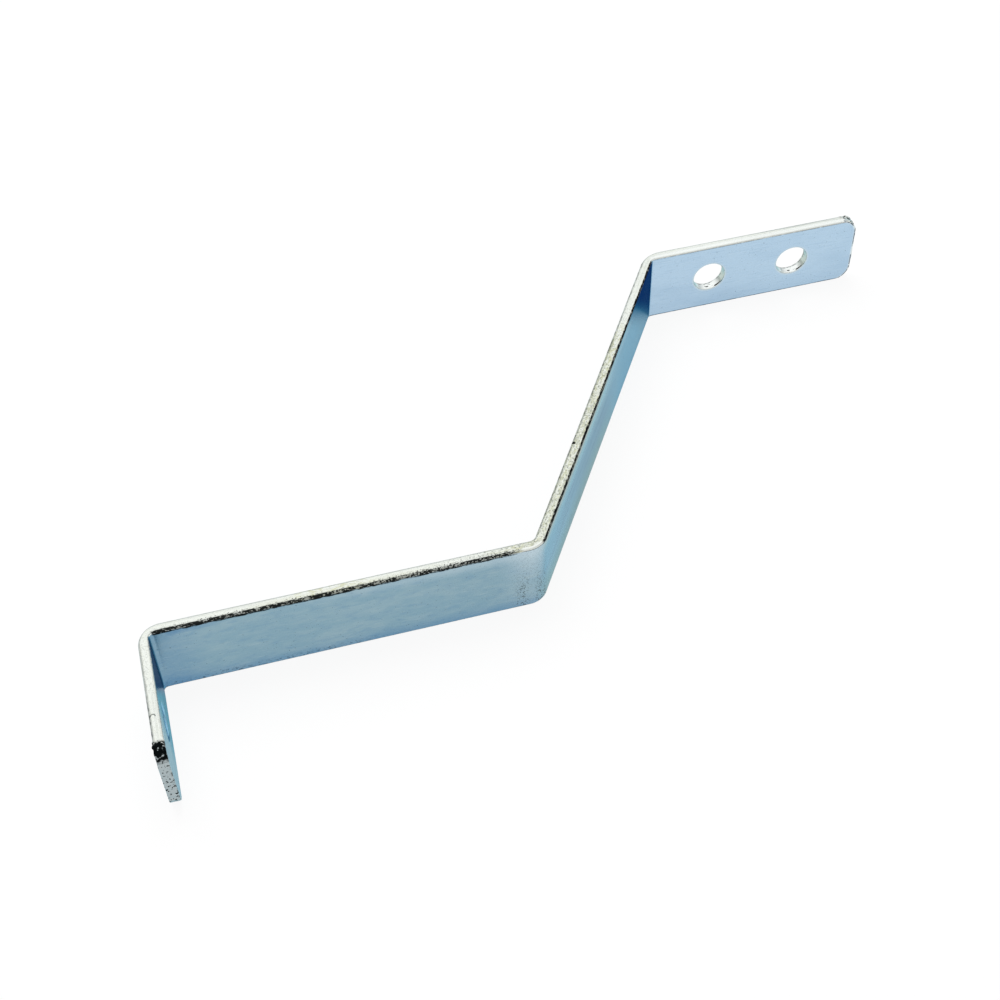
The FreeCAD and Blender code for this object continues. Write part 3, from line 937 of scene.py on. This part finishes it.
def rim_layers(at):
    """The front's rolled edges: a mottled black stripe on the leg and a thin black line elsewhere,
    which on the upper edge are partly painted reflection of dark surroundings and partly mottled
    bare plating, and a painted highlight at the crank bend.
    """
    nodes = at.nodes
    fine = nodes.noise(at.place, (1.0, 0.42, 0.42), detail=3.0, seed=1.0)
    coarse = nodes.noise(at.place, (3.0, 1.2, 1.2), detail=2.0, seed=2.0)
    front_half = nodes.fall(at.girth, 0.8, 1.05)
    stretch = at.along(39.8, 40.6, 137.0, 141.5)
    strip = nodes.ramp(at.w + coarse * 0.8 + fine * 0.4, 11.85, 12.15) * front_half * stretch
    weaker = nodes.ramp(at.s, 95.0, 140.0) * 0.036
    finest = nodes.noise(at.place, (0.5, 0.4, 0.4), detail=2.0, seed=71.0)
    grained = 0.5 + nodes.ramp(at.s, 95.0, 115.0) * 0.5
    flecks = fine * (1 - grained) + finest * grained
    stripe = strip * nodes.ramp(flecks + coarse * 0.5, 0.68, 0.72 + weaker)
    scatter = at.on_top * at.around(0.9, 1.0, 1.2, 1.45) * stretch * nodes.ramp(flecks, 0.54, 0.6)
    thin = at.on_top * at.around(0.0, 0.03, 0.1, 0.25)
    broken = nodes.ramp(fine, 0.35, 0.5)
    line_edge = 0.3 + coarse * 0.4 + fine * 0.3
    riser_reflection_and_wear_line = nodes.ramp(at.w + fine * 0.7 - nodes.ramp(at.s, 205.0, 240.0) * 0.3, 11.7, 11.9)
    riser_reflection_and_wear_line = riser_reflection_and_wear_line * nodes.fall(at.girth, line_edge, line_edge + 0.15)
    riser_reflection_and_wear_line = riser_reflection_and_wear_line * at.along(146.3, 147.3, 266.8, 267.4)
    # The painted highlight's stretch: the upper edge at the crank bend.
    bend = at.along(140.5, 142.0, 146.3, 147.3)
    plate_reflection_and_wear_line = nodes.ramp(at.s, 267.6, 268.6) * nodes.fall(at.s, PLATE_END - 5.0, PLATE_END - 4.0)
    lower_rim = at.on_bottom * at.around(0.0, 0.05, 0.6, 0.9)
    ragged = at.w + coarse * 0.5
    lower_line = nodes.fall(ragged, -11.75, -11.45) * nodes.fall(at.girth, 0.5, 0.7)
    lower_line = lower_line * (0.4 + broken * 0.6)
    return [
        # A mottled black stripe on the leg's upper front rounded edge: partly painted reflection of
        # dark surroundings, partly mottled bare plating.
        (strip * 0.55, BARE_BROWN),
        (stripe * 0.97, BARE_BLACK),
        (scatter * 0.9, BARE_BLACK),
        # A thin black line on the riser's upper front rounded edge: partly painted reflection of
        # dark surroundings, partly broken bare plating.
        (riser_reflection_and_wear_line * (0.7 + broken * 0.3), BARE_BLACK),
        # Painted highlight: a white crescent on the upper edge at the crank bend, with a thin dark
        # line at its lower side.
        (bend * at.on_top * at.around(0.05, 0.2, 0.9, 1.1), EDGE_WHITE),
        (bend * thin * 0.9, BARE_BROWN),
        # A thin broken line on the plate's upper front rounded edge: partly painted reflection of
        # dark surroundings, partly bare plating.
        (plate_reflection_and_wear_line * thin * (0.15 + broken * 0.4), BARE_BROWN),
        (lower_rim * (0.3 + broken * 0.3), DEEP_BLUE),
        (lower_line * (at.on_plate * 0.9 + at.on_leg * 0.55), INK_BLUE),
    ]


def end_layers(at):
    """The torn corners of both ends."""
    nodes = at.nodes
    torn = nodes.noise(at.place, (0.9, 0.9, 0.9), detail=3.0, seed=51.0)
    tab_tear = nodes.fall(at.s + torn * 2.0, 5.5, 6.4)
    tab_tear = tab_tear * nodes.ramp(at.w + torn * 1.6, 10.1, 10.7)
    plate_tear = nodes.ramp(at.s + torn * 3.0 + at.d, PLATE_END - 1.8, PLATE_END - 1.0)
    plate_tear = plate_tear * nodes.ramp(at.w, 6.5, 8.5)
    return [
        (at.on_edge * tab_tear * nodes.ramp(torn, 0.34, 0.42), BARE_BLACK),
        (at.on_edge * at.on_plate * at.cut * nodes.ramp(at.w, 6.0, 9.5) * 0.9, EDGE_WHITE),
        (at.on_edge * plate_tear * nodes.ramp(torn, 0.52, 0.58), BARE_BLACK),
    ]


def zinc_material():
    """Blue-passivated zinc on steel, with the marks of rolling, shearing, bending and wear."""
    material = bpy.data.materials.new(SLOT)
    material.use_nodes = True
    nodes = Nodes(material.node_tree)
    at = Surface(nodes)
    colour = LEG_COLOUR
    matte = 0.0
    kinds = (face_layers, scratch_layers, edge_layers, hole_layers, rim_layers, end_layers)
    for layers in kinds:
        for mask, tone in layers(at):
            colour = nodes.mix(mask, colour, tone)
            matte = nodes.math("MULTIPLY", matte, 1 - mask)
            if tone in MATTE_TONES:
                matte = matte + mask
    # The grazing tint, deeper in the two inner corners, where it darkens the painted reflection.
    tint = nodes.mix(at.tab_corner + at.riser_corner, GRAZING_TINT, CORNER_REFLECTION_TINT)
    shader = nodes.put("ShaderNodeBsdfPrincipled", {
        "Base Color": colour,
        "Metallic": 1.0 - matte,
        "Roughness": ROUGHNESS + matte * MATTE_ROUGHNESS,
        "Specular IOR Level": SPECULAR_LEVEL,
        "Specular Tint": tint,
    })
    nodes.put("ShaderNodeOutputMaterial", {"Surface": shader.outputs[0]})
    return material


# The floor: half its width in metres, its own colour, and how much of it shows as plain white.
FLOOR_HALF = 3.0
FLOOR_WHITE = (0.9, 0.9, 0.9, 1.0)
FLOOR_GLOW = 0.9


def add_floor():
    """A plain pale floor under the bracket's lower edge, which shows white with a soft shadow."""
    mesh = bpy.data.meshes.new("floor")
    level = LOW.z * MM
    corners = [(-FLOOR_HALF, -FLOOR_HALF), (FLOOR_HALF, -FLOOR_HALF),
               (FLOOR_HALF, FLOOR_HALF), (-FLOOR_HALF, FLOOR_HALF)]
    mesh.from_pydata([(x, y, level) for x, y in corners], [], [(0, 1, 2, 3)])
    floor = bpy.data.objects.new("floor", mesh)
    bpy.context.scene.collection.objects.link(floor)
    material = bpy.data.materials.new("floor")
    material.use_nodes = True
    nodes = Nodes(material.node_tree)
    plain = nodes.put("ShaderNodeBsdfDiffuse", {"Color": FLOOR_WHITE})
    glow = nodes.put("ShaderNodeEmission", {"Color": WHITE, "Strength": 1.0})
    path = nodes.put("ShaderNodeLightPath")
    seen = nodes.greatest(path.outputs["Is Camera Ray"], path.outputs["Is Glossy Ray"])
    mixed = nodes.put("ShaderNodeMixShader")
    nodes.feed(mixed.inputs[0], seen * FLOOR_GLOW)
    nodes.feed(mixed.inputs[1], plain.outputs[0])
    nodes.feed(mixed.inputs[2], glow.outputs[0])
    nodes.put("ShaderNodeOutputMaterial", {"Surface": mixed.outputs[0]})
    mesh.materials.append(material)


# The light: its even part, what the metal mirrors level with it and above it, the side from
# which it mirrors a little less, and the lamp, in metres and watts.
AMBIENT = 0.75
MIRRORED_LEVEL = 0.6
MIRRORED_RISE = 0.45
DARK_SIDE = Vector((0.45, -0.85, 0.3)).normalized()
DARK_SHARE = 0.15
LAMP_SIZE = 0.7
LAMP_WATTS = 6.0
LAMP_PLACE = Vector((-0.2, 0.35, 0.8))
LAMP_AIM = Vector((-0.09, -0.07, 0.0))


def light_studio():
    """White light from all round, with one slightly darker side, and a soft lamp above."""
    world = bpy.data.worlds.new("studio")
    bpy.context.scene.world = world
    world.use_nodes = True
    nodes = Nodes(world.node_tree)
    direction = nodes.put("ShaderNodeTexCoord").outputs["Generated"]
    axes = nodes.put("ShaderNodeSeparateXYZ", {"Vector": direction})
    x, y, z = (Field(nodes, axes.outputs[name]) for name in "XYZ")
    dark = nodes.ramp(x * DARK_SIDE.x + y * DARK_SIDE.y + z * DARK_SIDE.z, 0.45, 0.8)
    sky = MIRRORED_LEVEL + MIRRORED_RISE * nodes.ramp(z, 0.0, 0.75)
    sky = sky * (1 - DARK_SHARE * dark)
    path = nodes.put("ShaderNodeLightPath")
    camera = Field(nodes, path.outputs["Is Camera Ray"])
    glossy = Field(nodes, path.outputs["Is Glossy Ray"])
    strength = camera + glossy * sky + (1 - camera) * (1 - glossy) * AMBIENT
    background = nodes.put("ShaderNodeBackground", {"Color": WHITE, "Strength": strength})
    nodes.put("ShaderNodeOutputWorld", {"Surface": background.outputs[0]})
    lamp = bpy.data.lights.new("softbox", "AREA")
    lamp.shape = "SQUARE"
    lamp.size = LAMP_SIZE
    lamp.energy = LAMP_WATTS
    softbox = bpy.data.objects.new("softbox", lamp)
    bpy.context.scene.collection.objects.link(softbox)
    softbox.location = LAMP_PLACE
    softbox.rotation_euler = (LAMP_AIM - LAMP_PLACE).to_track_quat("-Z", "Y").to_euler()
    softbox.visible_glossy = False


# The camera, found from the photograph's edges: its place in millimetres, how far down it looks,
# how far it is turned to the left of +Y, its tilt, and its field.
CAMERA_PLACE = Vector((-177.5, -376.0, 353.7))
CAMERA_ELEVATION = 48.974
CAMERA_AZIMUTH = -13.700
CAMERA_ROLL = -1.791
CAMERA_LENS = 58.70
CAMERA_SENSOR = 36.0
CLIP_START, CLIP_END = 0.01, 20.0


def add_camera():
    """The camera at the photograph's viewing angle."""
    data = bpy.data.cameras.new("camera")
    data.lens = CAMERA_LENS
    data.sensor_width = CAMERA_SENSOR
    data.clip_start, data.clip_end = CLIP_START, CLIP_END
    camera = bpy.data.objects.new("camera", data)
    bpy.context.scene.collection.objects.link(camera)
    turn = Matrix.Rotation(math.radians(CAMERA_AZIMUTH), 4, "Z")
    tilt = Matrix.Rotation(math.radians(90 - CAMERA_ELEVATION), 4, "X")
    roll = Matrix.Rotation(math.radians(CAMERA_ROLL), 4, "Z")
    camera.matrix_world = Matrix.Translation(CAMERA_PLACE * MM) @ turn @ tilt @ roll
    bpy.context.scene.camera = camera


bracket = make_bracket()
bracket.data.materials.append(zinc_material())
add_floor()
light_studio()
add_camera()
bpy.context.scene.view_settings.view_transform = "Standard"
